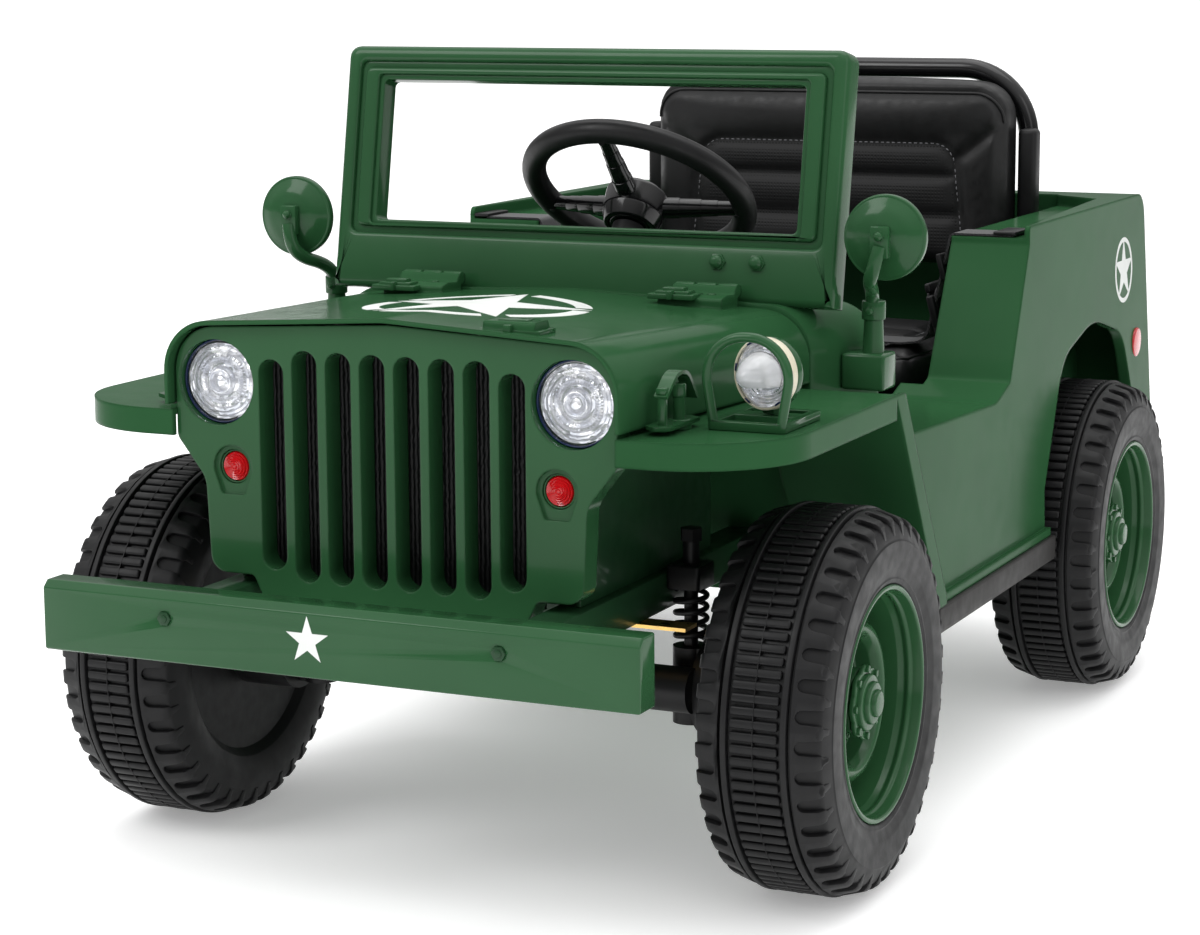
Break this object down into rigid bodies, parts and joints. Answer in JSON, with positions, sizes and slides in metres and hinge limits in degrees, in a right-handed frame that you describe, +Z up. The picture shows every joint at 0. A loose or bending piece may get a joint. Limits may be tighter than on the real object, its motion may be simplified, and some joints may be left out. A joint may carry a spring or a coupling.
{
  "type": "ride-on toy army 4x4 car",
  "caption": "Child's battery ride-on car styled as an open army 4x4, with steered front wheels, windscreen frame, padded seat, roll bar and front bumper.",
  "frame": {"origin": "middle of the car's box, on the floor", "axes": "+Z up, the car faces -Y, +X is its left side"},
  "size_m": [0.596, 1.095, 0.5731],
  "materials": {
    "green_paint": "gloss moulded army green",
    "tyre_black": "matte black blow-moulded plastic",
    "black_plastic": "matte black plastic",
    "black_gloss": "gloss black plastic",
    "seat_leather": "black padded artificial leather",
    "lamp_clear": "clear faceted lens over a silver reflector",
    "lamp_red": "red moulded lens",
    "belt_web": "black webbing",
    "dark_steel": "bare steel",
    "zinc_steel": "yellow zinc plated steel"
  },
  "bodies": {
    "chassis": {"axle_strips": "zinc_steel", "battery": "black_plastic", "bonnet": "green_paint", "bonnet_latches": "green_paint", "cowl": "green_paint", "dashboard": "black_plastic", "engine_bay_sides": "green_paint", "foot_pedal": "black_plastic", "front_bumper": "green_paint", "front_frame": "green_paint", "front_spring_left": "black_plastic", "front_spring_right": "black_plastic", "grille_mesh": "black_plastic", "grille_panel": "green_paint", "headlamp_left": "lamp_clear", "headlamp_right": "lamp_clear", "king_pin_blocks": "black_plastic", "lamp_guard": "green_paint", "marker_lamp_left": "lamp_red", "marker_lamp_right": "lamp_red", "mirror_left": "green_paint", "mirror_right": "green_paint", "rear_axle": "dark_steel", "roll_bar": "black_gloss", "seat_back": "seat_leather", "seat_base": "black_plastic", "seat_belt": "belt_web", "seat_cushion": "seat_leather", "sill_left": "black_plastic", "sill_right": "black_plastic", "steering_column": "black_plastic", "tub": "green_paint", "windscreen_frame": "green_paint", "wing_lamp": "lamp_clear", "wing_left": "green_paint", "wing_right": "green_paint"},
    "knuckle_left": {"knuckle_left": "black_plastic"},
    "knuckle_right": {"knuckle_right": "black_plastic"},
    "wheel_front_left": {"tyre_front_left": "tyre_black", "rim_front_left": "green_paint"},
    "wheel_front_right": {"tyre_front_right": "tyre_black", "rim_front_right": "green_paint"},
    "wheel_rear_left": {"tyre_rear_left": "tyre_black", "rim_rear_left": "green_paint"},
    "wheel_rear_right": {"tyre_rear_right": "tyre_black", "rim_rear_right": "green_paint"},
    "steering_wheel": {"steering_wheel": "black_gloss"},
    "tie_rod": {"tie_rod": "dark_steel"}
  },
  "joints": [
    {"name": "steer_left", "type": "hinge", "parent": "chassis", "child": "knuckle_left", "pos_m": [0.15, -0.2995, 0.135], "axis": [0, 0, 1], "range_deg": [-20, 20]},
    {"name": "steer_right", "type": "hinge", "parent": "chassis", "child": "knuckle_right", "pos_m": [-0.15, -0.2995, 0.135], "axis": [0, 0, 1], "range_deg": [-20, 20]},
    {"name": "wheel_front_left_spin", "type": "hinge", "parent": "knuckle_left", "child": "wheel_front_left", "pos_m": [0.25, -0.2995, 0.135], "axis": [1, 0, 0], "continuous": true},
    {"name": "wheel_rear_left_spin", "type": "hinge", "parent": "chassis", "child": "wheel_rear_left", "pos_m": [0.25, 0.3485, 0.135], "axis": [1, 0, 0], "continuous": true},
    {"name": "wheel_front_right_spin", "type": "hinge", "parent": "knuckle_right", "child": "wheel_front_right", "pos_m": [-0.25, -0.2995, 0.135], "axis": [1, 0, 0], "continuous": true},
    {"name": "wheel_rear_right_spin", "type": "hinge", "parent": "chassis", "child": "wheel_rear_right", "pos_m": [-0.25, 0.3485, 0.135], "axis": [1, 0, 0], "continuous": true},
    {"name": "steering_wheel_turn", "type": "hinge", "parent": "chassis", "child": "steering_wheel", "pos_m": [0, -0.0505, 0.458], "axis": [0, 0.6018, 0.7986], "range_deg": [-60, 60]},
    {"name": "tie_rod_pivot", "type": "hinge", "parent": "knuckle_left", "child": "tie_rod", "pos_m": [0.15, -0.2435, 0.12], "axis": [0, 0, 1], "range_deg": [-20, 20]}
  ],
  "couplings": [
    {"joint": "steer_right", "follows": "steer_left", "ratio": 1},
    {"joint": "steering_wheel_turn", "follows": "steer_left", "ratio": 3},
    {"joint": "tie_rod_pivot", "follows": "steer_left", "ratio": -1}
  ]
}
